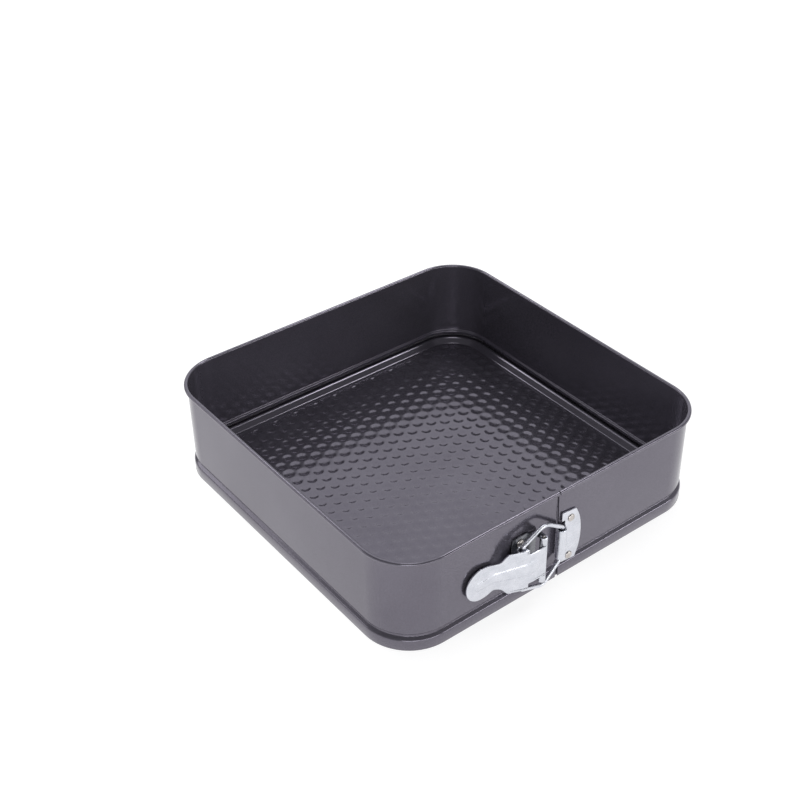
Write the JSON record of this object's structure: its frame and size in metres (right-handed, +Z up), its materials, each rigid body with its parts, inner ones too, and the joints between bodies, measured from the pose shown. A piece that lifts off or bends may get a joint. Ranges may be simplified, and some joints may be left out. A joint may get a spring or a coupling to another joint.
{
  "type": "square springform baking pan",
  "caption": "Square non-stick springform pan with rounded corners: a dimpled base held in a side band that a riveted toggle latch closes.",
  "frame": {"origin": "centre of the object's footprint, latch included, on the plane it stands on", "axes": "+Z up through the open top; the latch is on the -Y wall, and its lever's handle points to -X"},
  "size_m": [0.24, 0.2478, 0.065],
  "materials": {
    "nonstick_coating": "satin dark grey non-stick coating on sheet steel",
    "zinc_plate": "bright zinc-plated stamped steel",
    "rivet_steel": "polished steel"
  },
  "bodies": {
    "base": {"base_plate": "nonstick_coating"},
    "band_left": {"side_band_left": "nonstick_coating", "latch_bracket": "zinc_plate", "bracket_rivet_upper": "rivet_steel", "bracket_rivet_lower": "rivet_steel", "lever_hinge_pin": "rivet_steel"},
    "band_right": {"side_band_right": "nonstick_coating", "catch_plate": "zinc_plate", "catch_rivet_upper": "rivet_steel", "catch_rivet_lower": "rivet_steel"},
    "lever": {"latch_lever": "zinc_plate"},
    "bail": {"bail_wire": "zinc_plate"}
  },
  "joints": [
    {"name": "band_lift", "type": "slide", "parent": "base", "child": "band_left", "axis": [0, 0, 1], "range_m": [0, 0.075]},
    {"name": "lever_swing", "type": "hinge", "parent": "band_left", "child": "lever", "pos_m": [-0.0222, -0.1216, 0.0292], "axis": [0, 0, 1], "range_deg": [0, 110]},
    {"name": "band_open", "type": "slide", "parent": "band_left", "child": "band_right", "axis": [1, 0, 0], "range_m": [0, 0.01277]},
    {"name": "bail_swing", "type": "hinge", "parent": "band_right", "child": "bail", "pos_m": [-0.004, -0.1177, 0.0292], "axis": [0, 0, 1], "range_deg": [0, 27.7]}
  ],
  "couplings": [
    {"joint": "lever_swing", "follows": "band_open", "rad_per_m": 150.31},
    {"joint": "bail_swing", "follows": "band_open", "rad_per_m": 37.8}
  ]
}
